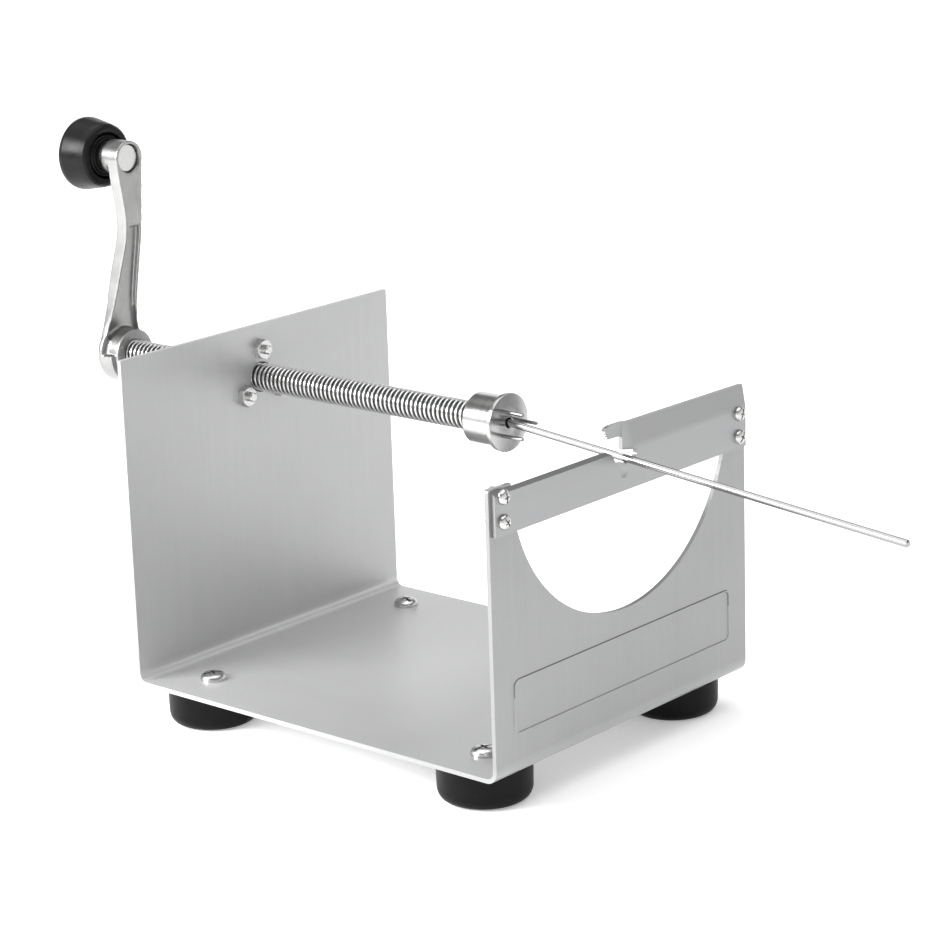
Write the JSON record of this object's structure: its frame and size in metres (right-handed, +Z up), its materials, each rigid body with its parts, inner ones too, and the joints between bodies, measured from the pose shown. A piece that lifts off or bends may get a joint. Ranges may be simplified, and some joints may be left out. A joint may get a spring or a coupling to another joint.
{
  "type": "tornado potato cutter",
  "caption": "Bent sheet stand with a cranked lead screw that turns and feeds a pronged chuck towards a slotted blade strip over a round cut-out.",
  "frame": {"origin": "centre of the whole object's box in plan, at table level under the feet", "axes": "+X along the lead screw from the crank to the blade, +Y to the far side, +Z up"},
  "size_m": [0.4548, 0.17, 0.2486],
  "materials": {
    "sheet_stainless": "fine satin rolled sheet",
    "blade_stainless": "bright brushed",
    "screw_steel": "bright plated",
    "foot_rubber": "matt moulded",
    "turned_steel": "fine turned",
    "thread_steel": "rolled thread, lightly oiled",
    "black_steel": "black oxide",
    "pin_steel": "drawn rod",
    "cast_aluminium": "tumbled casting",
    "knob_plastic": "satin moulded"
  },
  "bodies": {
    "frame": {"frame_sheet": "sheet_stainless", "blade_strip": "blade_stainless", "blade_screws": "screw_steel", "blade_nuts": "screw_steel", "foot_back_near": "foot_rubber", "foot_back_far": "foot_rubber", "foot_front_near": "foot_rubber", "foot_front_far": "foot_rubber", "foot_screws": "screw_steel", "foot_washers": "screw_steel", "foot_nuts": "screw_steel", "feed_nut": "turned_steel", "feed_nut_bolts": "screw_steel", "feed_nut_hex_nuts": "screw_steel"},
    "feed_carriage": {"crank_washer": "screw_steel"},
    "screw": {"lead_screw": "thread_steel", "chuck_hub": "turned_steel", "hub_set_screw": "black_steel", "prongs": "pin_steel", "crank_arm": "cast_aluminium", "crank_set_screw": "black_steel", "crank_nut": "screw_steel", "knob_spindle": "screw_steel", "knob_washer": "screw_steel", "knob_retainer": "screw_steel"},
    "knob": {"knob_grip": "knob_plastic", "knob_cap": "knob_plastic"},
    "rod": {"core_rod": "pin_steel"}
  },
  "joints": [
    {"name": "screw_feed", "type": "slide", "parent": "frame", "child": "feed_carriage", "axis": [1, 0, 0], "range_m": [-0.1118, 0.0432]},
    {"name": "crank_spin", "type": "hinge", "parent": "feed_carriage", "child": "screw", "pos_m": [-0.11915, 0, 0.1391], "axis": [1, 0, 0], "range_deg": [-15840, 6120]},
    {"name": "knob_spin", "type": "hinge", "parent": "screw", "child": "knob", "pos_m": [-0.21715, 0, 0.2316], "axis": [1, 0, 0], "continuous": true},
    {"name": "rod_tilt", "type": "hinge", "parent": "feed_carriage", "child": "rod", "pos_m": [0.02645, 0, 0.1393], "axis": [0, 1, 0], "range_deg": [-5.6, 2.2]}
  ],
  "couplings": [
    {"joint": "screw_feed", "follows": "crank_spin", "m_per_rad": 0.00040425},
    {"joint": "rod_tilt", "follows": "crank_spin", "ratio": 0.00034766}
  ]
}
